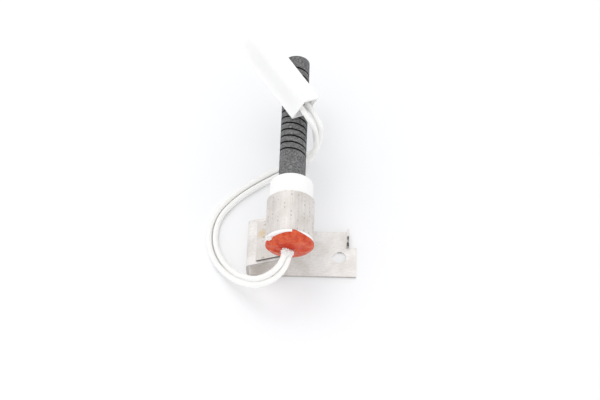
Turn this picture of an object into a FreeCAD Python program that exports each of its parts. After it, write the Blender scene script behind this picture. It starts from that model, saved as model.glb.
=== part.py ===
"""Round hot-surface igniter: a spiral silicon-carbide heater in a ceramic holder, on a folded bracket.

Millimetres. The origin is the centre of the bracket's screw hole on the underside of the foot, +Z up
along the hole's axis and +Y along the heater, towards its tip.
"""
import FreeCAD, Part
import math
import os
import re

import Sketcher
from FreeCAD import Placement, Rotation, Vector

# Driving dimensions: alias, value. "reach" values are measured along +Y from the foot's rear edge.
SIZES = [
    # folded bracket
    ("sheet_gauge", 0.9),
    ("bend_inside", 0.8),
    ("hole_dia", 4.8),
    ("hole_to_heater", 17.8),
    ("hole_to_rear", 8.05),
    ("hole_to_side", 6.15),
    ("hole_to_fold", 33.95),
    ("foot_depth", 19.05),
    ("notch_width", 2.7),
    ("notch_depth", 6.85),
    ("tab_height", 3.45),
    ("relief_dia", 1.3),
    ("leg_angle", 23.5),
    ("leg_overrun", 1.5),
    # rolled sleeve
    ("heater_height", 24.0),
    ("sleeve_dia", 17.45),
    ("sleeve_gauge", 0.75),
    ("sleeve_reach", 0.95),
    ("sleeve_length", 16.15),
    ("tail_length", 17.2),
    # ceramic holder and its fillings
    ("holder_gap", 0.07),
    ("holder_reach", 25.7),
    ("nose_radius", 1.5),
    ("flange_inset", 0.05),
    ("flange_thick", 0.95),
    ("cavity_dia", 12.8),
    ("cavity_reach", 11.0),
    ("mouth_dia", 12.0),
    ("mouth_depth", 2.5),
    ("cement_rise", 0.8),
    ("cement_skirt", 0.15),
    ("cement_gap", 0.02),
    ("seal_lap", 0.75),
    ("seal_rim", 0.9),
    ("seal_dome", 1.7),
    # heater
    ("heater_dia", 9.8),
    ("heater_bore", 5.2),
    ("heater_gap", 0.1),
    ("heater_rear", 9.0),
    ("heater_tip", 79.5),
    ("tip_round", 0.9),
    ("groove_width", 0.7),
    ("groove_pitch", 5.57),
    ("groove_reach", 36.3),
    ("groove_length", 39.0),
    # contacts, lead-out wires, splices and leads
    ("contact_thick", 0.5),
    ("contact_inset", 0.2),
    ("nickel_dia", 0.9),
    ("splice_dia", 1.9),
    ("splice_reach", 1.6),
    ("splice_length", 3.2),
    ("splice_grip", 1.5),
    ("lead_dia", 2.1),
    ("strand_dia", 1.0),
    ("lead_pitch", 2.2),
    ("lead_tilt", 40.0),
    ("lead_side", 0.65),
    ("lead_drop", 1.1),
    ("lead_reach", 1.4),
    ("lead_exit", -5.6),
    # connector
    ("plug_length", 35.2),
    ("plug_width", 8.6),
    ("plug_thick", 9.9),
    ("plug_heading", 37.4),
    ("plug_rise", 8.3),
    ("plug_roll", 30.1),
    ("plug_x", 4.44),
    ("plug_y", 51.73),
    ("plug_settle", 0.92),
    ("plug_edge", 0.5),
    ("plug_wall", 0.8),
    ("mouth_inset", 4.0),
    ("cell_width", 3.1),
    ("cell_thick", 4.6),
    ("cell_pitch", 3.9),
    ("rib_width", 1.5),
    ("rib_shift", 1.7),
    ("rib_rise", 0.45),
    ("rib_length", 24.0),
    # crimp terminals
    ("terminal_gap", 0.15),
    ("grip_wall", 0.3),
    ("grip_inset", 2.0),
    ("grip_length", 3.0),
    ("crimp_length", 3.2),
    ("socket_length", 12.0),
    ("socket_bore", 2.0),
    ("socket_wall", 0.3),
    ("plug_run", 3.0),
]

# Routes of the two leads between the seal and the connector, chosen point by point.
LEAD_ROUTES = {
    "inner": [
        (-22.8, -17.9, 20.9),
        (-28.8, -18.0, 15.2),
        (-34.4, -13.7, 8.7),
        (-39.7, -8.0, 3.5),
        (-44.2, -1.5, 1.2),
        (-46.8, 6.6, 1.2),
        (-45.4, 16.2, 1.2),
        (-39.0, 24.3, 1.2),
        (-31.0, 30.6, 1.2),
        (-22.4, 36.1, 1.2),
        (-14.6, 40.3, 1.9),
        (-10.3, 41.7, 6.4),
        (-9.6, 41.3, 13.6),
        (-9.7, 39.8, 21.2),
        (-9.9, 37.9, 28.9),
    ],
    "outer": [
        (-21.0, -18.9, 19.5),
        (-28.0, -20.2, 14.4),
        (-35.0, -16.0, 8.1),
        (-41.3, -9.8, 3.3),
        (-46.4, -2.6, 1.2),
        (-49.2, 6.4, 1.2),
        (-47.6, 17.2, 1.2),
        (-40.7, 26.0, 1.2),
        (-32.4, 32.6, 1.2),
        (-23.6, 38.4, 1.2),
        (-15.0, 42.8, 1.9),
        (-9.5, 44.2, 6.4),
        (-8.4, 43.6, 13.6),
        (-8.1, 42.0, 20.6),
        (-7.7, 39.9, 27.2),
    ],
}
ARC_SHARE = 0.45          # of the shorter run, taken up by the tangent arc at a corner
CLEAR = 0.5               # how far a cutting tool runs past the face it opens
SIDES = {"inner": -1, "outer": 1}

doc = FreeCAD.newDocument("igniter")
sizes = doc.addObject("Spreadsheet::Sheet", "sizes")
for row, (alias, number) in enumerate(SIZES, start=1):
    sizes.set(f"A{row}", alias)
    sizes.set(f"B{row}", str(number))
    sizes.setAlias(f"B{row}", alias)
doc.recompute()

ALIASES = re.compile(r"\b(" + "|".join(alias for alias, _ in SIZES) + r")\b")
TO_HEATER = Rotation(Vector(1, 0, 0), -90)      # turns a body's own Z axis to +Y


def formula(text):
    """An expression of the document, from one that names cells of the sheet."""
    return ALIASES.sub(r"sizes.\1", str(text))


def value(text):
    return float(sizes.evalExpression(formula(text)))


# ---------------------------------------------------------------- shared places, as formulas
HOLDER_DIA = "(sleeve_dia - 2 * sleeve_gauge - 2 * holder_gap)"
FLANGE_DIA = "(sleeve_dia - flange_inset)"
SEAL_DIA = "(sleeve_dia + seal_lap)"
FLANGE_REACH = "(sleeve_reach - flange_thick)"
TANGENT_X = "(-hole_to_heater + sleeve_dia / 2 * sin(leg_angle))"
TANGENT_Z = "(heater_height - sleeve_dia / 2 * cos(leg_angle))"
CONTACT_RADIUS = "(heater_dia / 4 + heater_bore / 4)"
GROOVE_START = "(groove_reach - heater_rear)"
CELL_MOUTH = "(cell_pitch + cell_width)"
SOCKET_WIDTH = "(cell_width - 2 * terminal_gap)"
PLUG_DEPTH = "(plug_width / 2 * sin(plug_roll) + plug_thick / 2 * cos(plug_roll))"


def leg_top(x):
    """Height of the leg's upper face at x."""
    return f"({TANGENT_Z} + ({x} - {TANGENT_X}) * tan(leg_angle))"


# ---------------------------------------------------------------- sketches and features
def new_body(name):
    body = doc.addObject("PartDesign::Body", name)
    body.Label = name
    return body


def new_sketch(body, role, offset="0"):
    plane = next(item for item in body.Origin.OriginFeatures if item.Role == role)
    sketch = body.newObject("Sketcher::SketchObject", f"{body.Name}_sketch")
    sketch.AttachmentSupport = [(plane, "")]
    sketch.MapMode = "FlatFace"
    sketch.setExpression("AttachmentOffset.Base.z", formula(offset))
    return sketch


def hold(sketch, kind, text, *geometry):
    """Add one measured constraint and bind it to its formula."""
    index = sketch.addConstraint(Sketcher.Constraint(kind, *geometry, value(text)))
    sketch.setExpression(f"Constraints[{index}]", formula(text))


def circle(sketch, x, y, radius):
    centre = Vector(value(x), value(y), 0)
    index = sketch.addGeometry(Part.Circle(centre, Vector(0, 0, 1), value(radius)), False)
    hold(sketch, "Radius", radius, index)
    hold(sketch, "DistanceX", x, -1, 1, index, 3)
    hold(sketch, "DistanceY", y, -1, 1, index, 3)


def arc_between(start, end, centre):
    """The counter-clockwise arc from start to end."""
    radius = (start - centre).Length
    first, last = (math.atan2(p.y - centre.y, p.x - centre.x) for p in (start, end))
    if last <= first:
        last += 2 * math.pi
    return Part.ArcOfCircle(Part.Circle(centre, Vector(0, 0, 1), radius), first, last)


def outline(sketch, corners, arc=None):
    """A closed outline through corners, given as pairs of formulas.

    arc is (index, centre x, centre y, radius): the side after that corner is an arc, not a line.
    """
    places = [Vector(value(x), value(y), 0) for x, y in corners]
    first = sketch.GeometryCount
    for index, place in enumerate(places):
        following = places[(index + 1) % len(places)]
        if arc and index == arc[0]:
            side = arc_between(place, following, Vector(value(arc[1]), value(arc[2]), 0))
        else:
            side = Part.LineSegment(place, following)
        sketch.addGeometry(side, False)
    for index, (x, y) in enumerate(corners):
        following = first + (index + 1) % len(corners)
        sketch.addConstraint(Sketcher.Constraint("Coincident", first + index, 2, following, 1))
        hold(sketch, "DistanceX", x, -1, 1, first + index, 1)
        hold(sketch, "DistanceY", y, -1, 1, first + index, 1)
    if arc:
        hold(sketch, "Radius", arc[3], first + arc[0])


def block(sketch, left, right, low, high):
    outline(sketch, [(left, low), (right, low), (right, high), (left, high)])


def extrude(body, sketch, length, cut=False, ahead=True):
    """Pad or pocket a sketch; ahead means along the sketch's own normal."""
    kind = "PartDesign::Pocket" if cut else "PartDesign::Pad"
    before = body.Shape.Volume if body.Tip else 0
    feature = body.newObject(kind, f"{body.Name}_{'cut' if cut else 'pad'}")
    feature.Profile = sketch
    feature.setExpression("Length", formula(length))
    feature.Reversed = (ahead == cut)
    doc.recompute()
    if (feature.Shape.Volume < before) != cut:
        raise RuntimeError(f"{feature.Name} changed the solid the wrong way")
    return feature


def revolve(body, sketch):
    feature = body.newObject("PartDesign::Revolution", f"{body.Name}_turn")
    feature.Profile = sketch
    feature.ReferenceAxis = (sketch, ["V_Axis"])
    feature.Angle = 360
    doc.recompute()
    return feature


def round_edges(body, radius, chosen):
    """Round the body's edges that the test picks."""
    base = body.Tip
    names = [f"Edge{n}" for n, edge in enumerate(base.Shape.Edges, start=1) if chosen(edge)]
    feature = body.newObject("PartDesign::Fillet", f"{body.Name}_round")
    feature.Base = (base, names)
    feature.setExpression("Radius", formula(radius))
    doc.recompute()
    return feature


def along_y(edge, x, z):
    """A test for an edge that runs along Y at x and z."""
    box = edge.BoundBox
    flat = box.XLength < 1e-4 and box.ZLength < 1e-4 and box.YLength > 1e-3
    return flat and abs(box.XMin - x) < 1e-3 and abs(box.ZMin - z) < 1e-3


def place_on_heater(obj, reach):
    """Stand a body's own Z axis on the heater's axis, its origin at a reach."""
    at = Vector(value("-hole_to_heater"), value(f"{reach} - hole_to_rear"), value("heater_height"))
    obj.Placement = Placement(at, TO_HEATER)


def add_shape(name, shape):
    feature = doc.addObject("Part::Feature", name)
    feature.Label = name
    feature.Shape = shape
    return feature


# ---------------------------------------------------------------- bracket and sleeve
def make_bracket():
    body = new_body("bracket")
    profile = new_sketch(body, "XZ_Plane", "hole_to_rear")
    fold = "-hole_to_fold"
    inner = "(sheet_gauge - hole_to_fold)"
    end = f"({TANGENT_X} + leg_overrun)"
    below = "sheet_gauge / cos(leg_angle)"
    outline(profile, [
        ("hole_to_side", "0"),
        (fold, "0"),
        (fold, leg_top(fold)),
        (end, leg_top(end)),
        (f"{end} + sheet_gauge * sin(leg_angle)", f"{leg_top(end)} - sheet_gauge * cos(leg_angle)"),
        (inner, f"{leg_top(inner)} - {below}"),
        (inner, "sheet_gauge"),
        ("hole_to_side", "sheet_gauge"),
    ])
    extrude(body, profile, "foot_depth", ahead=False)
    outer_x, outer_z = value(fold), value(leg_top(fold))
    inner_x, inner_z = value(inner), value(f"{leg_top(inner)} - {below}")
    gauge = value("sheet_gauge")
    round_edges(body, "bend_inside + sheet_gauge",
                lambda e: along_y(e, outer_x, 0) or along_y(e, outer_x, outer_z))
    round_edges(body, "bend_inside",
                lambda e: along_y(e, inner_x, gauge) or along_y(e, inner_x, inner_z))

    notch = new_sketch(body, "XY_Plane", f"-{CLEAR}")
    left = "hole_to_side - notch_width"
    far = "foot_depth - hole_to_rear"
    block(notch, left, f"hole_to_side + {CLEAR}", f"{far} - notch_depth", f"{far} + {CLEAR}")
    extrude(body, notch, f"sheet_gauge + 2 * {CLEAR}", cut=True)
    tab = new_sketch(body, "XY_Plane")
    block(tab, f"{left} - sheet_gauge", left, f"{far} - notch_depth + relief_dia / 2", far)
    extrude(body, tab, "tab_height")
    inside = value(f"{left} - sheet_gauge")
    round_edges(body, "sheet_gauge / 3", lambda e: along_y(e, value(left), 0))
    round_edges(body, "bend_inside / 2", lambda e: along_y(e, inside, gauge))

    holes = new_sketch(body, "XY_Plane", f"-{CLEAR}")
    circle(holes, "0", "0", "hole_dia / 2")
    circle(holes, f"{left} - sheet_gauge / 2", f"{far} - notch_depth", "relief_dia / 2")
    extrude(body, holes, f"tab_height + 2 * {CLEAR}", cut=True)


def make_sleeve():
    """A strip rolled into a sleeve; its tail leaves at a tangent and lies on the bracket's leg."""
    body = new_body("sleeve")
    profile = new_sketch(body, "XZ_Plane", "hole_to_rear - sleeve_reach")
    heater_x, inside = "-hole_to_heater", "(sleeve_dia / 2 - sleeve_gauge)"
    half_chord = f"sqrt(pow(sleeve_dia / 2; 2) - pow({inside}; 2))"
    rise = "sleeve_gauge * cos(leg_angle)"
    lean = "sleeve_gauge * sin(leg_angle)"
    root_x = f"({heater_x} + {inside} * sin(leg_angle) - {half_chord} * cos(leg_angle))"
    root_z = f"(heater_height - {inside} * cos(leg_angle) - {half_chord} * sin(leg_angle))"
    end_x = f"({TANGENT_X} - tail_length * cos(leg_angle))"
    end_z = f"({TANGENT_Z} - tail_length * sin(leg_angle))"
    outline(profile, [
        (TANGENT_X, TANGENT_Z),
        (root_x, root_z),
        (f"{end_x} - {lean}", f"{end_z} + {rise}"),
        (end_x, end_z),
    ], arc=(0, heater_x, "heater_height", "sleeve_dia / 2"))
    circle(profile, heater_x, "heater_height", inside)
    extrude(body, profile, "sleeve_length", ahead=False)


# ---------------------------------------------------------------- ceramic, cement and seal
def make_holder():
    """A flanged ceramic bush: a wide cavity behind, a seat for the heater and a mouth in front."""
    body = new_body("ceramic_holder")
    profile = new_sketch(body, "XZ_Plane")
    front = f"(holder_reach - {FLANGE_REACH})"
    seat = "heater_dia / 2 + heater_gap"
    outline(profile, [
        ("cavity_dia / 2", "0"),
        (f"{FLANGE_DIA} / 2", "0"),
        (f"{FLANGE_DIA} / 2", "flange_thick"),
        (f"{HOLDER_DIA} / 2", "flange_thick"),
        (f"{HOLDER_DIA} / 2", front),
        ("mouth_dia / 2", front),
        ("mouth_dia / 2", f"{front} - mouth_depth"),
        (seat, f"{front} - mouth_depth"),
        (seat, f"cavity_reach - {FLANGE_REACH}"),
        ("cavity_dia / 2", f"cavity_reach - {FLANGE_REACH}"),
    ])
    revolve(body, profile)
    rim_radius, rim_height = value(f"{HOLDER_DIA} / 2"), value(front)
    round_edges(body, "nose_radius", lambda e: e.Closed and abs(e.BoundBox.ZMin - rim_height) < 1e-3
                and abs(e.BoundBox.XMax - rim_radius) < 1e-3)
    place_on_heater(body, FLANGE_REACH)


def make_front_cement():
    """The ring of cement in the holder's mouth, drawn up a little round the heater."""
    body = new_body("front_cement")
    profile = new_sketch(body, "XZ_Plane")
    inside = "(heater_dia / 2 + cement_gap)"
    outline(profile, [
        (f"{inside}", "0"),
        ("mouth_dia / 2", "0"),
        ("mouth_dia / 2", "mouth_depth"),
        (f"{inside} + cement_skirt", "mouth_depth + cement_rise"),
        (f"{inside}", "mouth_depth + cement_rise"),
    ])
    revolve(body, profile)
    place_on_heater(body, "(holder_reach - mouth_depth)")


def lead_spot(side):
    """Where a lead crosses the holder, in the holder's own x and y."""
    shift = f"{SIDES[side]} * lead_pitch / 2"
    return f"(-lead_side + {shift} * cos(lead_tilt))", f"(lead_drop + {shift} * sin(lead_tilt))"


def make_seal():
    """A domed disc of sealant behind the flange, with the two leads through it."""
    body = new_body("rear_seal")
    profile = new_sketch(body, "XZ_Plane")
    ball = f"(pow({SEAL_DIA} / 2; 2) / seal_dome / 2 + seal_dome / 2)"
    crown = "(-seal_rim - seal_dome)"
    outline(profile, [
        ("0", "0"),
        ("0", crown),
        (f"{SEAL_DIA} / 2", "-seal_rim"),
        (f"{SEAL_DIA} / 2", "0"),
    ], arc=(1, "0", f"{crown} + {ball}", ball))
    revolve(body, profile)
    holes = new_sketch(body, "XY_Plane", CLEAR)
    for side in SIDES:
        circle(holes, *lead_spot(side), "lead_dia / 2")
    extrude(body, holes, f"seal_rim + seal_dome + 2 * {CLEAR}", cut=True, ahead=False)
    place_on_heater(body, FLANGE_REACH)


# ---------------------------------------------------------------- heater
def make_heater():
    """A silicon-carbide tube cut by two spiral slots, which a straight slot joins at its cold end."""
    body = new_body("heating_element")
    section = new_sketch(body, "XY_Plane")
    circle(section, "0", "0", "heater_dia / 2")
    circle(section, "0", "0", "heater_bore / 2")
    length = value("heater_tip - heater_rear")
    extrude(body, section, "heater_tip - heater_rear")
    outside = value("heater_dia / 2")
    round_edges(body, "tip_round", lambda e: e.Closed and abs(e.BoundBox.ZMin - length) < 1e-3
                and abs(e.BoundBox.XMax - outside) < 1e-3)
    slot = new_sketch(body, "XY_Plane", f"-{CLEAR}")
    reach = f"heater_dia / 2 + {CLEAR}"
    block(slot, f"-({reach})", reach, "-groove_width / 2", "groove_width / 2")
    extrude(body, slot, f"{GROOVE_START} + groove_width / 2 + {CLEAR}", cut=True)

    groove = new_sketch(body, "XZ_Plane")
    block(groove, f"heater_bore / 2 - {CLEAR}", reach,
          f"{GROOVE_START} - groove_width / 2", f"{GROOVE_START} + groove_width / 2")
    before = body.Tip.Shape.Volume
    spiral = body.newObject("PartDesign::SubtractiveHelix", "heating_element_spiral")
    spiral.Profile = groove
    spiral.ReferenceAxis = (groove, ["V_Axis"])
    spiral.Mode = "pitch-height-angle"
    spiral.setExpression("Pitch", formula("groove_pitch"))
    spiral.setExpression("Height", formula("groove_length"))
    spiral.LeftHanded = True
    doc.recompute()
    turned = body.newObject("PartDesign::PolarPattern", "heating_element_second_spiral")
    turned.Originals = [spiral]
    turned.Axis = (groove, ["V_Axis"])
    turned.Angle = 360
    turned.Occurrences = 2
    body.Tip = turned
    doc.recompute()
    one, two = before - spiral.Shape.Volume, before - turned.Shape.Volume
    if one <= 0 or abs(two / one - 2) > 0.02:
        raise RuntimeError("the spiral slots didn't both cut the heater")
    place_on_heater(body, "heater_rear")


def make_contacts():
    """Metal pads on the rear end of each of the heater's two legs."""
    for name, turn in (("contact_upper", 180), ("contact_lower", 0)):
        body = new_body(name)
        section = new_sketch(body, "XY_Plane")
        outer = "(heater_dia / 2 - contact_inset)"
        inner = "(heater_bore / 2 + contact_inset)"
        side = "(groove_width / 2 + contact_inset)"
        circle(section, "0", "0", outer)
        circle(section, "0", "0", inner)
        extrude(body, section, "contact_thick")
        half = new_sketch(body, "XY_Plane", f"-{CLEAR}")
        wide = f"({outer} + {CLEAR})"
        block(half, f"-{wide}", wide, f"-{wide}", side)
        extrude(body, half, f"contact_thick + 2 * {CLEAR}", cut=True)
        place_on_heater(body, "(heater_rear - contact_thick)")
        body.Placement = body.Placement.multiply(Placement(Vector(), Rotation(Vector(0, 0, 1), turn)))


# ---------------------------------------------------------------- connector and its terminals
def plug_placement():
    """The connector's own frame: Y from its wire end to its mating end, Z out of its ribbed face.

    Its lowest edge lies across the heater, and settles a little past the heater's crown at the wire end.
    """
    height = f"heater_height + heater_dia / 2 + cos(plug_rise) * {PLUG_DEPTH} - plug_settle"
    at = Vector(value("plug_x - hole_to_heater"), value("plug_y - hole_to_rear"), value(height))
    turn = Rotation(Vector(0, 0, 1), value("plug_heading"))
    turn = turn.multiply(Rotation(Vector(1, 0, 0), value("plug_rise")))
    return Placement(at, turn.multiply(Rotation(Vector(0, 1, 0), value("plug_roll"))))


def make_housing():
    body = new_body("connector_housing")
    outside = new_sketch(body, "XZ_Plane")
    block(outside, "-plug_width / 2", "plug_width / 2", "-plug_thick / 2", "plug_thick / 2")
    extrude(body, outside, "plug_length", ahead=False)
    round_edges(body, "plug_edge", lambda e: e.BoundBox.YLength > value("plug_length") / 2)
    rib = new_sketch(body, "XZ_Plane")
    block(rib, "-rib_shift - rib_width / 2", "-rib_shift + rib_width / 2",
          "plug_thick / 2 - plug_wall / 2", "plug_thick / 2 + rib_rise")
    extrude(body, rib, "rib_length", ahead=False)
    mouth = new_sketch(body, "XZ_Plane", CLEAR)
    half_mouth = f"({CELL_MOUTH} / 2)"
    half_thick = "(plug_thick / 2 - plug_wall)"
    block(mouth, f"-{half_mouth}", half_mouth, f"-{half_thick}", half_thick)
    extrude(body, mouth, f"mouth_inset + {CLEAR}", cut=True, ahead=False)
    cells = new_sketch(body, "XZ_Plane", CLEAR)
    for side in SIDES.values():
        middle = f"{side} * cell_pitch / 2"
        block(cells, f"{middle} - cell_width / 2", f"{middle} + cell_width / 2",
              "-cell_thick / 2", "cell_thick / 2")
    extrude(body, cells, f"plug_length + 2 * {CLEAR}", cut=True, ahead=False)
    body.Placement = plug_placement()


def make_terminals():
    """Crimp sockets: a grip on the insulation, a crimp on the strands and a square socket."""
    for side, sign in SIDES.items():
        body = new_body(f"terminal_{side}")
        middle = f"({sign} * cell_pitch / 2)"
        crimp_start = "grip_inset + grip_length"
        socket_start = f"{crimp_start} + crimp_length"
        grip = new_sketch(body, "XZ_Plane", "-(grip_inset)")
        circle(grip, middle, "0", "lead_dia / 2 + grip_wall")
        extrude(body, grip, f"grip_length + crimp_length + {CLEAR}", ahead=False)
        socket = new_sketch(body, "XZ_Plane", f"-({socket_start})")
        block(socket, f"{middle} - {SOCKET_WIDTH} / 2", f"{middle} + {SOCKET_WIDTH} / 2",
              "-socket_bore / 2 - socket_wall", "socket_bore / 2 + socket_wall")
        extrude(body, socket, "socket_length", ahead=False)
        bore = new_sketch(body, "XZ_Plane", f"-(grip_inset - {CLEAR})")
        circle(bore, middle, "0", "lead_dia / 2")
        extrude(body, bore, f"grip_length + {CLEAR}", cut=True, ahead=False)
        crimp = new_sketch(body, "XZ_Plane", f"-({crimp_start} - {CLEAR})")
        circle(crimp, middle, "0", "strand_dia / 2")
        extrude(body, crimp, f"crimp_length + {CLEAR}", cut=True, ahead=False)
        opening = new_sketch(body, "XZ_Plane", f"-({socket_start} + socket_wall)")
        circle(opening, middle, "0", "socket_bore / 2")
        extrude(body, opening, f"socket_length + {CLEAR}", cut=True, ahead=False)
        body.Placement = plug_placement()


# ---------------------------------------------------------------- wires
def corner_arc(before, corner, after):
    """Start, middle and end of the arc that rounds a corner of a route, and its radius."""
    back, ahead = (before - corner), (after - corner)
    shorter = min(back.Length, ahead.Length)
    half_turn = (math.pi - back.getAngle(ahead)) / 2
    setback = ARC_SHARE * shorter
    radius = setback / math.tan(half_turn)
    back.normalize()
    ahead.normalize()
    inward = back + ahead
    inward.normalize()
    start, end = corner + back * setback, corner + ahead * setback
    middle = corner + inward * (radius / math.cos(half_turn) - radius)
    return start, middle, end, radius


def route_wire(points):
    """Straight runs joined by tangent arcs, and the arcs' radii."""
    edges, radii, last = [], [], points[0]
    for before, corner, after in zip(points, points[1:], points[2:]):
        start, middle, end, radius = corner_arc(before, corner, after)
        edges.append(Part.LineSegment(last, start).toShape())
        edges.append(Part.Arc(start, middle, end).toShape())
        radii.append(radius)
        last = end
    edges.append(Part.LineSegment(last, points[-1]).toShape())
    return Part.Wire(edges), radii


def rod(name, points, radius):
    """A solid round wire along a route, its volume tested against its length."""
    path, radii = route_wire(points)
    ring = Part.Circle(points[0], points[1] - points[0], radius).toShape()
    solid = path.makePipeShell([Part.Wire([ring])], True, False)
    wanted = path.Length * math.pi * radius ** 2
    if abs(solid.Volume / wanted - 1) > 0.005:
        raise RuntimeError(f"{name}: the tube's volume is {solid.Volume:.2f}, not {wanted:.2f}")
    if len(points) > 4:
        print(f"{name}: length {path.Length:.1f}, tightest radius {min(radii):.1f}, radii",
              " ".join(f"{r:.0f}" for r in radii))
    return solid


def in_holder(side, reach, height=None):
    """A point on a lead's line through the holder, in the part's frame."""
    across, drop = lead_spot(side)
    x = value(f"-hole_to_heater + {across}")
    z = value(f"heater_height - {drop}" if height is None else height)
    return Vector(x, value(f"{reach} - hole_to_rear"), z)


def in_plug(side, depth):
    """A point on a terminal's line, at a depth from the connector's wire end."""
    return plug_placement().multVec(Vector(value(f"{SIDES[side]} * cell_pitch / 2"), value(depth), 0))


def make_leads():
    for side, places in LEAD_ROUTES.items():
        free = [in_holder(side, "lead_exit")]
        free += [Vector(*place) for place in places]
        free.append(in_plug(side, "-plug_run"))
        covered = [in_holder(side, "lead_reach")] + free + [in_plug(side, "grip_inset + grip_length")]
        bared = ([in_holder(side, "splice_reach + splice_grip")] + free
                 + [in_plug(side, "grip_inset + grip_length + crimp_length")])
        strands = rod(f"conductor_{side}", bared, value("strand_dia / 2"))
        jacket = rod(f"insulation_{side}", covered, value("lead_dia / 2"))
        add_shape(f"conductor_{side}", strands)
        add_shape(f"insulation_{side}", jacket.cut(strands))


def make_splices():
    """Crimped tubes that join each lead's strands to its nickel wire."""
    for side in SIDES:
        body = new_body(f"splice_{side}")
        section = new_sketch(body, "XY_Plane")
        circle(section, "0", "0", "splice_dia / 2")
        circle(section, "0", "0", "strand_dia / 2")
        extrude(body, section, "splice_length")
        body.Placement = Placement(in_holder(side, "splice_reach"), TO_HEATER)


def make_nickel_wires():
    """Each wire runs from its splice to the contact of one leg, with a bend at each end."""
    for side, sign in SIDES.items():
        contact = f"heater_height - {sign} * {CONTACT_RADIUS}"
        pad_reach = "heater_rear - contact_thick"
        points = [
            in_holder(side, "splice_reach + splice_grip + nickel_dia / 3"),
            in_holder(side, "splice_reach + splice_length + nickel_dia"),
            in_holder(side, f"{pad_reach} - nickel_dia * 1.2", contact),
            in_holder(side, pad_reach, contact),
        ]
        add_shape(f"nickel_wire_{side}", rod(f"nickel_wire_{side}", points, value("nickel_dia / 2")))


def make_rear_cement():
    """Potting that fills the holder's cavity round everything inside it."""
    body = new_body("cement_blank")
    section = new_sketch(body, "XY_Plane")
    circle(section, "0", "0", "cavity_dia / 2")
    extrude(body, section, f"cavity_reach - {FLANGE_REACH}")
    heater = new_sketch(body, "XY_Plane", f"heater_rear - contact_thick - {FLANGE_REACH}")
    circle(heater, "0", "0", "heater_dia / 2")
    extrude(body, heater, "cavity_reach", cut=True)
    place_on_heater(body, FLANGE_REACH)
    filling = body.Shape
    for side in SIDES:
        for piece in (f"insulation_{side}", f"conductor_{side}", f"nickel_wire_{side}"):
            filling = filling.cut(doc.getObject(piece).Shape)
        barrel = Part.makeCylinder(value("splice_dia / 2"), value("splice_length"),
                                   in_holder(side, "splice_reach"), Vector(0, 1, 0))
        filling = filling.cut(barrel)
    add_shape("rear_cement", filling)


# ---------------------------------------------------------------- build, test and write
make_bracket()
make_sleeve()
make_holder()
make_front_cement()
make_seal()
make_heater()
make_contacts()
make_housing()
make_terminals()
make_leads()
make_splices()
make_nickel_wires()
make_rear_cement()
doc.recompute()

NODES = [
    "bracket", "sleeve", "ceramic_holder", "front_cement", "rear_cement", "rear_seal",
    "heating_element", "contact_upper", "contact_lower", "connector_housing",
]
for stem in ("nickel_wire", "splice", "conductor", "insulation", "terminal"):
    NODES += [f"{stem}_{side}" for side in SIDES]

for obj in doc.Objects:
    if {"Invalid", "Error"} & set(obj.State):
        raise RuntimeError(f"{obj.Name} failed: {obj.State}")
os.makedirs("parts", exist_ok=True)
for node in NODES:
    shape = doc.getObject(node).Shape
    if shape.isNull() or not shape.isValid() or not shape.Solids:
        raise RuntimeError(f"{node} isn't a valid solid")
    shape.exportStep(f"parts/{node}.step")
    print(f"{node}: {len(shape.Solids)} solid, {shape.Volume:.2f} mm3")
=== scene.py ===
import math

import bmesh
import bpy
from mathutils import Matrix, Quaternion, Vector, noise


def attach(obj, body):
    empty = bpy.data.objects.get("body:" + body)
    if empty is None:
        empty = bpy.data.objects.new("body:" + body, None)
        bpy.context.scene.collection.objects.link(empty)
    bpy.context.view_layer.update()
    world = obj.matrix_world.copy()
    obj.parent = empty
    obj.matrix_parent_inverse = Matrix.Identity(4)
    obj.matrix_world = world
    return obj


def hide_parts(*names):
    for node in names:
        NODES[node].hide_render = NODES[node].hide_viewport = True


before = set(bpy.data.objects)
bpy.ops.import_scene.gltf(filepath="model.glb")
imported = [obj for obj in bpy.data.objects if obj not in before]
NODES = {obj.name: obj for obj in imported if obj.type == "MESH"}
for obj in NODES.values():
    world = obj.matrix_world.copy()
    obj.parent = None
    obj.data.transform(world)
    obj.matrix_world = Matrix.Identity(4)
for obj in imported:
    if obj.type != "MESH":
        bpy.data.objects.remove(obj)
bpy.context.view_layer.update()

MM = 0.001
SCENE = bpy.context.scene

HEATER_X, HEATER_Z = -17.8, 24.0   # the heater's axis, which runs along +Y
FLANGE_Y = -8.05                   # rear face of the ceramic flange
FLANGE_THICK = 0.95
TAB_X = 3.0                        # middle of the bent-up tab's thickness
TAB_SHADE_Y = 8.2                 # how far forward the painted shade on the tab reaches
TAIL_TINT_AT = (-28.4, 3.8, 11.0)  # weld tint on the sleeve's tail
LEG_SHADE_AT = (-26.2, -8.0, 8.5)   # painted shade: a brown patch on the bracket's leg, by the tail's weld
SLOT_DEPTHS = (4.78, 4.89)         # radii between which painted shade turns the heater's slots black
COLLAR_AT = (-18.35, -11.5, 23.2)
RIM_DAB_AT = (-24.9, -8.2, 28.2)
# painted shade for sheet faces that point rearward, away from the key light
REAR_FACE_SHADE = (0.10, 0.09, 0.08)
PITTED = (0.16, 0.14, 0.12)
WARM_CLOUD = (0.56, 0.50, 0.44)
# painted shade at the bottom of the heater's slots and bore
SLOT_SHADE = (0.006, 0.006, 0.007)
WHITE_CEMENT = (0.955, 0.95, 0.93)

# ------------------------------------------------------------------ camera
EYE = Vector((8.73, -371.81, 644.65))
AIM = Vector((-15.22, 21.29, 6.33))
ROLL = math.radians(-1.823)
LENS = 120.77


def add_object(name, data):
    obj = bpy.data.objects.new(name, data)
    SCENE.collection.objects.link(obj)
    return obj


def make_camera():
    data = bpy.data.cameras.new("camera")
    data.lens = LENS
    data.clip_start, data.clip_end = 0.01, 20
    camera = add_object("camera", data)
    camera.rotation_mode = "QUATERNION"
    camera.location = EYE * MM
    level = (AIM - EYE).to_track_quat("-Z", "Y")
    camera.rotation_quaternion = level @ Quaternion((0, 0, 1), ROLL)
    SCENE.camera = camera


make_camera()

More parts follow.
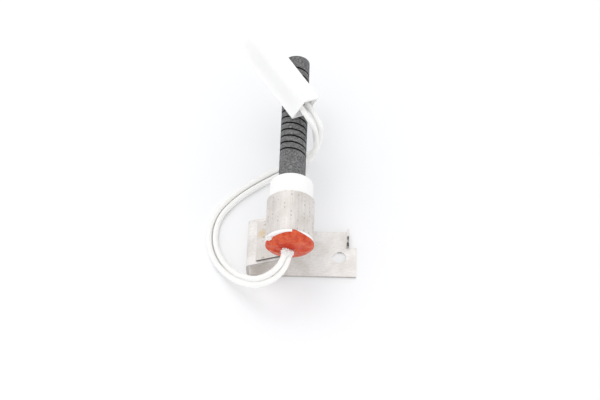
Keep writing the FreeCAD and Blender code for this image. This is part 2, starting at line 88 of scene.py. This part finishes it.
# ------------------------------------------------------------------ cords
LEAD_DIAMETER = 2.1
LEAD_SEGMENTS = 20
LEAD_ROUTES = {
    "inner": [
        (-19.29, -9.0, 23.61),
        (-19.29, -13.65, 23.61),
        (-22.8, -17.9, 20.9),
        (-28.8, -18.0, 15.2),
        (-34.4, -13.7, 8.7),
        (-39.7, -8.0, 3.5),
        (-44.2, -1.5, 1.2),
        (-46.8, 6.6, 1.2),
        (-45.4, 16.2, 1.2),
        (-39.0, 24.3, 1.2),
        (-31.0, 30.6, 1.2),
        (-22.4, 36.1, 1.2),
        (-14.6, 40.3, 1.9),
        (-10.3, 41.7, 6.4),
        (-9.6, 41.3, 13.6),
        (-9.7, 39.8, 21.2),
        (-9.9, 37.9, 28.9),
        (-12.9, 40.2, 34.9),
        (-16.0, 44.3, 35.6),
    ],
    "outer": [
        (-17.61, -9.0, 22.19),
        (-17.61, -13.65, 22.19),
        (-21.0, -18.9, 19.5),
        (-28.0, -20.2, 14.4),
        (-35.0, -16.0, 8.1),
        (-41.3, -9.8, 3.3),
        (-46.4, -2.6, 1.2),
        (-49.2, 6.4, 1.2),
        (-47.6, 17.2, 1.2),
        (-40.7, 26.0, 1.2),
        (-32.4, 32.6, 1.2),
        (-23.6, 38.4, 1.2),
        (-15.0, 42.8, 1.9),
        (-9.5, 44.2, 6.4),
        (-8.4, 43.6, 13.6),
        (-8.1, 42.0, 20.6),
        (-7.7, 39.9, 27.2),
        (-10.3, 42.5, 32.9),
        (-13.4, 46.6, 33.7),
    ],
}


def spline_points(name, points):
    """Points on the lead's smooth spline, read from the curve itself."""
    curve = bpy.data.curves.new(name, "CURVE")
    curve.dimensions = "3D"
    curve.resolution_u = 16
    spline = curve.splines.new("NURBS")
    spline.points.add(len(points) - 1)
    for target, place in zip(spline.points, points):
        target.co = (*(Vector(place) * MM), 1)
    spline.order_u = 3
    spline.use_endpoint_u = True
    obj = add_object(name, curve)
    bpy.context.view_layer.update()
    line = bpy.data.meshes.new_from_object(obj.evaluated_get(bpy.context.evaluated_depsgraph_get()))
    places = [vertex.co.copy() for vertex in line.vertices]
    bpy.data.objects.remove(obj)
    return places


def sweep_tube(name, path, radius, segments):
    """A round tube along a path, with a UV map: u round it, v along it in millimetres."""
    mesh = bmesh.new()
    layer = mesh.loops.layers.uv.new("along")
    side = (path[1] - path[0]).orthogonal().normalized()
    rings, travelled = [], [0.0]
    for index, place in enumerate(path):
        ahead = (path[min(index + 1, len(path) - 1)] - path[max(index - 1, 0)]).normalized()
        side = (side - ahead * side.dot(ahead)).normalized()
        other = ahead.cross(side)
        turns = [2 * math.pi * k / segments for k in range(segments)]
        outward = [side * math.cos(turn) + other * math.sin(turn) for turn in turns]
        rings.append([mesh.verts.new(place + way * radius) for way in outward])
        if index:
            travelled.append(travelled[-1] + (place - path[index - 1]).length / MM)
    for index in range(len(rings) - 1):
        low, high = travelled[index], travelled[index + 1]
        for k in range(segments):
            following = (k + 1) % segments
            face = mesh.faces.new((rings[index][k], rings[index][following],
                                   rings[index + 1][following], rings[index + 1][k]))
            face.smooth = True
            corners = ((k, low), (k + 1, low), (k + 1, high), (k, high))
            for loop, (around, along) in zip(face.loops, corners):
                loop[layer].uv = (around / segments, along)
    mesh.faces.new(list(reversed(rings[0])))
    mesh.faces.new(rings[-1])
    data = bpy.data.meshes.new(name)
    mesh.to_mesh(data)
    mesh.free()
    return add_object(name, data), travelled[-1] * MM


def make_leads():
    leads = []
    for side, points in LEAD_ROUTES.items():
        path = spline_points(f"route_{side}", points)
        lead, length = sweep_tube(f"lead_{side}", path, LEAD_DIAMETER / 2 * MM, LEAD_SEGMENTS)
        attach(lead, "root")
        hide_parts(f"insulation_{side}")
        leads.append(lead)
    return leads


LEADS = make_leads()


# ------------------------------------------------------------------ material tools
class Paint:
    """A principled material with short calls for the procedural detail that goes into it."""

    def __init__(self, name, colour, roughness, metallic=0.0, **extra):
        self.material = bpy.data.materials.new(name)
        self.material.use_nodes = True
        self.tree = self.material.node_tree
        self.shader = self.tree.nodes["Principled BSDF"]
        self.set("Base Color", (*colour, 1))
        self.set("Roughness", roughness)
        self.set("Metallic", metallic)
        for socket, number in extra.items():
            self.set(socket.replace("_", " ").title().replace("Ior", "IOR"), number)
        self.place = self.node("ShaderNodeTexCoord").outputs["Object"]
        self.height = None

    def node(self, kind, **settings):
        made = self.tree.nodes.new(kind)
        for name, setting in settings.items():
            setattr(made, name, setting)
        return made

    def set(self, socket, number):
        self.shader.inputs[socket].default_value = number

    def wire(self, source, target):
        if isinstance(source, bpy.types.NodeSocket):
            self.tree.links.new(source, target)
        else:
            target.default_value = source

    def link(self, source, socket):
        self.tree.links.new(source, self.shader.inputs[socket])

    def math(self, operation, first, second=0.0, clamp=False):
        made = self.node("ShaderNodeMath", operation=operation, use_clamp=clamp)
        self.wire(first, made.inputs[0])
        self.wire(second, made.inputs[1])
        return made.outputs[0]

    def scaled(self, scale):
        """The object's own millimetres, stretched or squeezed along each axis."""
        made = self.node("ShaderNodeMapping")
        self.wire(self.place, made.inputs["Vector"])
        made.inputs["Scale"].default_value = [number / MM for number in scale]
        return made.outputs[0]

    def noise(self, scale, detail=3.0, rough=0.55, stretch=(1, 1, 1), twist=0.0):
        """Noise with features about 1 / scale millimetres across."""
        made = self.node("ShaderNodeTexNoise")
        self.wire(self.scaled(stretch), made.inputs["Vector"])
        made.inputs["Scale"].default_value = scale
        made.inputs["Detail"].default_value = detail
        made.inputs["Roughness"].default_value = rough
        made.inputs["Distortion"].default_value = twist
        return made.outputs["Fac"]

    def cells(self, scale, stretch=(1, 1, 1)):
        made = self.node("ShaderNodeTexVoronoi")
        self.wire(self.scaled(stretch), made.inputs["Vector"])
        made.inputs["Scale"].default_value = scale
        return made.outputs["Distance"]

    def span(self, source, low, high, start=0.0, end=1.0):
        """Source from low to high, eased into start to end."""
        made = self.node("ShaderNodeMapRange", interpolation_type="SMOOTHSTEP")
        self.wire(source, made.inputs["Value"])
        sockets = ("From Min", "From Max", "To Min", "To Max")
        for socket, number in zip(sockets, (low, high, start, end)):
            made.inputs[socket].default_value = number
        return made.outputs["Result"]

    def mix(self, share, first, second, blend="MIX"):
        made = self.node("ShaderNodeMix", data_type="RGBA", blend_type=blend)
        self.wire(share, made.inputs["Factor"])
        for socket, colour in (("A", first), ("B", second)):
            target = next(item for item in made.inputs if item.name == socket and item.type == "RGBA")
            self.wire(colour if isinstance(colour, bpy.types.NodeSocket) else (*colour, 1), target)
        return next(item for item in made.outputs if item.type == "RGBA")

    def axis(self, source, name):
        return self.split(source).outputs[name]

    def millimetres(self, name):
        return self.math("DIVIDE", self.axis(self.place, name), MM)

    def split(self, source):
        made = self.node("ShaderNodeSeparateXYZ")
        self.wire(source, made.inputs[0])
        return made

    def bump(self, source, depth, strength=1.0):
        """Relief of depth millimetres; each further call adds to the last."""
        made = self.node("ShaderNodeBump")
        made.inputs["Strength"].default_value = strength
        made.inputs["Distance"].default_value = depth * MM
        self.wire(source, made.inputs["Height"])
        if self.height:
            self.wire(self.height, made.inputs["Normal"])
        self.height = made.outputs["Normal"]
        self.link(self.height, "Normal")

    def distance(self, centre, keep=("X", "Y", "Z")):
        """Distance in millimetres from a point, counting only the axes named."""
        parts = self.split(self.place)
        total = 0.0
        for name, number in zip("XYZ", centre):
            if name in keep:
                offset = self.math("SUBTRACT", parts.outputs[name], number * MM)
                total = self.math("ADD", self.math("MULTIPLY", offset, offset), total)
        return self.math("DIVIDE", self.math("SQRT", total), MM)


def clothe(obj, paint):
    obj.data.materials.clear()
    obj.data.materials.append(paint.material)


def paint_node(name, paint):
    """Give a CAD node its finished material in every slot, leaving its mesh alone."""
    for index in range(len(NODES[name].material_slots)):
        NODES[name].material_slots[index].material = paint.material


# ------------------------------------------------------------------ materials
def sheet_metal(name, brushed, tone, rear_shade_strength):
    """Satin stainless sheet, brushed along one axis, with painted shade darkening the faces that point
    rearward, its cut edges among them.
    """
    paint = Paint(name, tone, 0.5, metallic=0.7)
    streaks = paint.noise(1.0, detail=5, rough=0.7, stretch=brushed)
    cloud = paint.noise(0.16, detail=3)
    pits = paint.span(paint.noise(2.2, detail=2), 0.66, 0.74)
    darker, lighter = [c * 0.88 for c in tone], [min(c * 1.07, 1) for c in tone]
    colour = paint.mix(paint.span(streaks, 0.3, 0.7), darker, lighter)
    colour = paint.mix(paint.span(cloud, 0.35, 0.7, 0, 0.35), colour, WARM_CLOUD)
    colour = paint.mix(paint.math("MULTIPLY", pits, 0.35), colour, PITTED)
    # painted shade: faces that point rearward, away from the key light, are darkened
    normal = paint.node("ShaderNodeNewGeometry").outputs["Normal"]
    rearward = paint.math("MULTIPLY", paint.axis(normal, "Y"), -1.0)
    rear_shade_mask = paint.span(rearward, 0.9, 0.97)
    colour = paint.mix(paint.math("MULTIPLY", rear_shade_mask, rear_shade_strength), colour, REAR_FACE_SHADE)
    paint.link(colour, "Base Color")
    paint.link(paint.span(streaks, 0.25, 0.75, 0.48, 0.64), "Roughness")
    paint.bump(streaks, 0.02, 0.5)
    paint.bump(paint.noise(3.0, detail=2), 0.012, 0.5)
    return paint


def bracket_metal():
    """The bracket's sheet, with painted shade as a dark streak on the tab's edge and as a brown patch
    where the tail is welded.
    """
    paint = sheet_metal("bracket_metal", (0.6, 2.2, 2.2), (0.88, 0.855, 0.835), 0.4)
    base = paint.shader.inputs["Base Color"].links[0].from_socket
    # painted shade: a brown patch on the leg by the tail's weld
    tint = paint.span(paint.distance(LEG_SHADE_AT), 0.8, 3.4, 0.55, 0.0)
    base = paint.mix(tint, base, (0.36, 0.29, 0.22))
    # painted shade: a near-black streak down the tab, broken into patches by noise
    tab_shade = paint.span(paint.distance((TAB_X, 0, 0), keep="X"), 0.22, 0.42, 1.0, 0.0)
    tab_shade = paint.math("MULTIPLY", tab_shade, paint.span(paint.millimetres("Z"), 1.0, 1.3))
    rear_half = paint.span(paint.millimetres("Y"), TAB_SHADE_Y - 0.8, TAB_SHADE_Y, 1.0, 0.0)
    tab_shade = paint.math("MULTIPLY", tab_shade, rear_half)
    patchy = paint.span(paint.noise(0.9, detail=2), 0.32, 0.5, 0.35, 1.0)
    paint.link(paint.mix(paint.math("MULTIPLY", tab_shade, patchy), base, (0.03, 0.03, 0.03)), "Base Color")
    return paint


def sleeve_metal():
    """The sleeve's sheet: axial streaks, marks at its rear rim and a tint at the tail's welds."""
    paint = sheet_metal("sleeve_metal", (2.2, 0.12, 2.2), (0.765, 0.73, 0.70), 0.85)
    weld = paint.distance(TAIL_TINT_AT)
    tint = paint.span(weld, 0.6, 2.6, 0.55, 0.0)
    base = paint.shader.inputs["Base Color"].links[0].from_socket
    paint.link(paint.mix(tint, base, (0.72, 0.52, 0.27)), "Base Color")
    along = paint.millimetres("Y")
    parts = paint.split(paint.place)
    turn = paint.math("ARCTAN2", paint.math("SUBTRACT", parts.outputs["X"], HEATER_X * MM),
                      paint.math("SUBTRACT", parts.outputs["Z"], HEATER_Z * MM))
    column = paint.span(paint.math("SINE", paint.math("MULTIPLY", turn, 22)), 0.75, 0.98)
    dash = paint.span(paint.math("SINE", paint.math("MULTIPLY", along, 3.6)), 0.0, 0.7)
    patchy = paint.span(paint.noise(0.5, detail=1), 0.45, 0.6)
    marks = paint.math("MULTIPLY", paint.math("MULTIPLY", column, dash), patchy)
    base = paint.shader.inputs["Base Color"].links[0].from_socket
    paint.link(paint.mix(paint.math("MULTIPLY", marks, 0.55), base, (0.34, 0.28, 0.24)), "Base Color")
    paint.bump(marks, -0.08, 0.8)
    rolling = paint.math("SINE", paint.math("MULTIPLY", along, 5.2))
    rim = paint.span(along, -5.6, -3.6, 1.0, 0.0)
    paint.bump(paint.math("MULTIPLY", rolling, rim), 0.05, 0.5)
    return paint


def silicon_carbide():
    """Grainy grey sintered carbide, with painted shade turning it near black within its slots and bore.
    """
    paint = Paint("silicon_carbide", (0.17, 0.17, 0.17), 0.78)
    grain = paint.noise(1.5, detail=6, rough=0.8)
    cloud = paint.noise(0.35, detail=3)
    radius = paint.distance((HEATER_X, 0, HEATER_Z), keep=("X", "Z"))
    colour = paint.mix(paint.span(grain, 0.36, 0.66), (0.055, 0.055, 0.057), (0.31, 0.31, 0.312))
    colour = paint.mix(paint.span(cloud, 0.35, 0.7, 0, 0.4), colour, (0.10, 0.10, 0.10))
    # painted shade: below the surface radius the slots and bore go near black
    slot_shade_mask = paint.span(radius, *SLOT_DEPTHS, 1.0, 0.0)
    paint.link(paint.mix(slot_shade_mask, colour, SLOT_SHADE), "Base Color")
    paint.bump(grain, 0.4, 0.9)
    paint.bump(paint.noise(0.8, detail=3), 0.5, 0.6)
    return paint


def fired_ceramic(name, tone, depth):
    paint = Paint(name, tone, 0.62)
    speckle = paint.noise(3.2, detail=5, rough=0.65)
    paint.link(paint.mix(paint.span(speckle, 0.3, 0.75), [c * 0.93 for c in tone], tone), "Base Color")
    paint.bump(speckle, depth, 0.6)
    paint.bump(paint.noise(0.5, detail=2), depth * 2, 0.4)
    return paint


def red_sealant():
    """Glossy silicone sealant, rougher where it was dabbed round the leads, with painted shade deepening
    its colour there.
    """
    paint = Paint("red_sealant", (0.70, 0.06, 0.02), 0.24, specular_ior_level=0.25, coat_weight=0.25,
                  coat_roughness=0.1)
    reach = paint.distance((HEATER_X - 0.3, 0, HEATER_Z + 0.5), keep=("X", "Z"))
    cloud = paint.noise(0.45, detail=4)
    warm = paint.mix(paint.span(cloud, 0.3, 0.72), (0.56, 0.034, 0.002), (0.74, 0.125, 0.038))
    # painted shade: the middle round the leads is darkened towards deep red
    paint.link(paint.mix(paint.span(reach, 1.6, 5.0, 0.9, 0.0), warm, (0.55, 0.026, 0.001)), "Base Color")
    paint.bump(cloud, 0.6, 0.8)
    paint.bump(paint.cells(0.9), 0.25, 0.5)
    return paint


def braided_lead():
    """Ivory glass-fibre braid: two sets of slanted yarns that cross over each other."""
    paint = Paint("braided_lead", (0.96, 0.955, 0.93), 0.72, sheen_weight=0.35,
                  subsurface_weight=0.3, subsurface_scale=0.001, subsurface_radius=(1, 1, 1))
    where = paint.split(paint.node("ShaderNodeUVMap", uv_map="along").outputs[0])
    around = paint.math("MULTIPLY", where.outputs["X"], 2 * math.pi * 6)
    along = paint.math("MULTIPLY", where.outputs["Y"], 2 * math.pi / 1.15)
    one = paint.math("SINE", paint.math("ADD", around, along))
    two = paint.math("SINE", paint.math("SUBTRACT", around, along))
    yarn = paint.math("MAXIMUM", one, two)
    fuzz = paint.noise(6.0, detail=3)
    colour = paint.mix(paint.span(yarn, 0.1, 0.9), (0.93, 0.925, 0.885), (0.975, 0.972, 0.95))
    paint.link(paint.mix(paint.span(fuzz, 0.4, 0.8, 0, 0.3), colour, (0.98, 0.978, 0.96)), "Base Color")
    paint.bump(yarn, 0.05, 0.6)
    paint.bump(fuzz, 0.03, 0.5)
    return paint


def moulded_nylon():
    """White nylon with a faint grain and a slightly translucent body."""
    paint = Paint("moulded_nylon", (0.90, 0.90, 0.885), 0.42,
                  subsurface_weight=0.3, subsurface_scale=0.003, subsurface_radius=(1, 1, 1))
    grain = paint.noise(5.0, detail=3)
    cloud = paint.noise(0.12, detail=2)
    colour = paint.mix(paint.span(cloud, 0.35, 0.7), (0.968, 0.966, 0.955), (0.985, 0.985, 0.98))
    paint.link(colour, "Base Color")
    paint.link(paint.span(grain, 0.3, 0.7, 0.36, 0.5), "Roughness")
    paint.bump(grain, 0.02, 0.5)
    paint.bump(cloud, 0.3, 0.3)
    return paint


def plated(name, tone, roughness):
    paint = Paint(name, tone, roughness, metallic=1.0)
    tarnish = paint.noise(1.6, detail=4)
    paint.link(paint.mix(paint.span(tarnish, 0.35, 0.75), tone, [c * 0.72 for c in tone]), "Base Color")
    paint.link(paint.span(tarnish, 0.3, 0.7, roughness, roughness + 0.2), "Roughness")
    paint.bump(tarnish, 0.03, 0.5)
    return paint


def paint_everything():
    nickel = plated("nickel_plate", (0.66, 0.62, 0.56), 0.32)
    tin = plated("tin_plate", (0.78, 0.77, 0.75), 0.28)
    strands = plated("tinned_strands", (0.72, 0.69, 0.64), 0.38)
    contact = plated("sprayed_aluminium", (0.77, 0.77, 0.78), 0.5)
    potting = fired_ceramic("potting_cement", (0.80, 0.78, 0.73), 0.14)
    finishes = {
        "bracket": bracket_metal(),
        "sleeve": sleeve_metal(),
        "ceramic_holder": fired_ceramic("fired_ceramic", (0.965, 0.963, 0.95), 0.05),
        "front_cement": fired_ceramic("front_cement", (0.92, 0.91, 0.885), 0.16),
        "rear_cement": potting,
        "heating_element": silicon_carbide(),
        "connector_housing": moulded_nylon(),
        "contact_upper": contact,
        "contact_lower": contact,
    }
    for side in LEAD_ROUTES:
        finishes[f"nickel_wire_{side}"] = nickel
        finishes[f"splice_{side}"] = nickel
        finishes[f"terminal_{side}"] = tin
        finishes[f"conductor_{side}"] = strands
    for name, paint in finishes.items():
        paint_node(name, paint)
    braid = braided_lead()
    for lead in LEADS:
        clothe(lead, braid)


paint_everything()


# ------------------------------------------------------------------ seal and collar
SEAL_RINGS, SEAL_SEGMENTS = 44, 168


def seal_lobe(turn):
    """Share of the flange's rim that the seal has run over at an angle, full just right of the top."""
    return max(0.0, math.cos(turn - math.radians(80))) ** 22


def seal_reach(turn):
    """The seal's uneven outline: how far it reaches over the flange, in millimetres, at an angle.

    0 is +X and a quarter turn is up. It is short of the flange's rim at the upper left.
    """
    upper_left = max(0.0, math.cos(turn - math.radians(132))) ** 4
    upper_right = max(0.0, math.cos(turn - math.radians(38))) ** 10
    ragged = noise.noise(Vector((math.cos(turn), math.sin(turn), 0)) * 2.6)
    return 9.0 - 1.7 * upper_left - 0.35 * upper_right + 0.3 * min(ragged, 0.0) * (1 - seal_lobe(turn))


def seal_height(x, z, share):
    """How far the seal stands behind the flange, from its rim (share 1) to its middle (share 0)."""
    dome = 0.35 + 1.75 * (1 - share ** 2) ** 0.62
    broad = noise.noise(Vector((x, z, 3.0)) * 0.42) * 0.5
    lumps = broad + noise.noise(Vector((x, z, 9.0)) * 1.15) * 0.26
    dab = 0.32 * math.exp(-((x + 0.2) ** 2 + (z - 1.1) ** 2) / 5.0)
    return min(dome + lumps * (1 - share ** 6) + dab, 2.55)


def make_seal():
    mesh = bmesh.new()
    middle = mesh.verts.new((HEATER_X * MM, (FLANGE_Y - seal_height(0, 0, 0)) * MM, HEATER_Z * MM))
    rings = []
    for ring in range(1, SEAL_RINGS + 1):
        share = ring / SEAL_RINGS
        row = []
        for k in range(SEAL_SEGMENTS):
            turn = 2 * math.pi * k / SEAL_SEGMENTS
            reach = seal_reach(turn) * share
            x, z = reach * math.cos(turn), reach * math.sin(turn)
            stand = seal_height(x, z, share)
            place = Vector((HEATER_X + x, FLANGE_Y - stand, HEATER_Z + z))
            row.append(mesh.verts.new(place * MM))
        rings.append(row)
    foot = []
    for k, vertex in enumerate(rings[-1]):
        over = FLANGE_THICK * seal_lobe(2 * math.pi * k / SEAL_SEGMENTS)
        foot.append(mesh.verts.new((vertex.co.x, (FLANGE_Y - 0.01 + over) * MM, vertex.co.z)))
    rings.append(foot)
    for k in range(SEAL_SEGMENTS):
        following = (k + 1) % SEAL_SEGMENTS
        mesh.faces.new((middle, rings[0][following], rings[0][k]))
        for inner, outer in zip(rings, rings[1:]):
            mesh.faces.new((inner[k], inner[following], outer[following], outer[k]))
    mesh.faces.new(foot)
    bmesh.ops.recalc_face_normals(mesh, faces=mesh.faces)
    data = bpy.data.meshes.new("seal")
    mesh.to_mesh(data)
    mesh.free()
    for face in data.polygons:
        face.use_smooth = len(face.vertices) < 5
    seal = add_object("seal", data)
    clothe(seal, red_sealant())
    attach(seal, "root")
    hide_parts("rear_seal")


def make_dab(name, centre, half_sizes, tilt, raggedness):
    """A ragged dab of white cement."""
    mesh = bmesh.new()
    bmesh.ops.create_icosphere(mesh, subdivisions=5, radius=1.0)
    for vertex in mesh.verts:
        way = vertex.co.normalized()
        lumps = noise.noise(way * 2.1) + 0.7 * noise.noise(way * 5.2 + Vector((7, 0, 0)))
        size = Vector([part * half for part, half in zip(way, half_sizes)]) * (1 + raggedness * lumps)
        size.rotate(Quaternion((0, 1, 0), math.radians(tilt)))
        vertex.co = (Vector(centre) + size) * MM
    for face in mesh.faces:
        face.smooth = True
    data = bpy.data.meshes.new(name)
    mesh.to_mesh(data)
    mesh.free()
    dab = add_object(name, data)
    clothe(dab, fired_ceramic(f"{name}_cement", WHITE_CEMENT, 0.3))
    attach(dab, "root")


make_seal()
make_dab("collar", COLLAR_AT, (2.1, 1.5, 1.6), 40, 0.45)
make_dab("rim_dab", RIM_DAB_AT, (1.15, 0.75, 1.0), 0, 0.5)


# ------------------------------------------------------------------ studio
FLOOR_SIZE = 3.0


def add_softbox(name, place, size, power, colour):
    data = bpy.data.lights.new(name, "AREA")
    data.size, data.energy, data.color = size, power, colour
    light = add_object(name, data)
    light.location = place
    light.rotation_mode = "QUATERNION"
    light.rotation_quaternion = (Vector((-0.02, 0.02, 0.01)) - light.location).to_track_quat("-Z", "Y")


def make_studio():
    reach = FLOOR_SIZE
    mesh = bpy.data.meshes.new("floor")
    mesh.from_pydata([(-reach, -reach, 0), (reach, -reach, 0), (reach, reach, 0), (-reach, reach, 0)],
                     [], [(0, 1, 2, 3)])
    floor = add_object("floor", mesh)
    paper = Paint("paper", (0.93, 0.935, 0.945), 0.9)
    clothe(floor, paper)
    world = bpy.data.worlds.new("world")
    SCENE.world = world
    world.use_nodes = True
    sky = world.node_tree.nodes["Background"]
    sky.inputs["Color"].default_value = (0.985, 0.988, 1.0, 1)
    sky.inputs["Strength"].default_value = 0.97
    add_softbox("key", (-0.25, 0.30, 0.75), 0.45, 0.95, (1.0, 0.99, 0.97))
    add_softbox("glint", (-0.22, -0.42, 0.55), 0.07, 0.06, (1.0, 1.0, 1.0))
    add_softbox("fill", (0.45, -0.45, 0.55), 0.6, 0.35, (1.0, 1.0, 1.0))
    SCENE.view_settings.view_transform = "Standard"


make_studio()
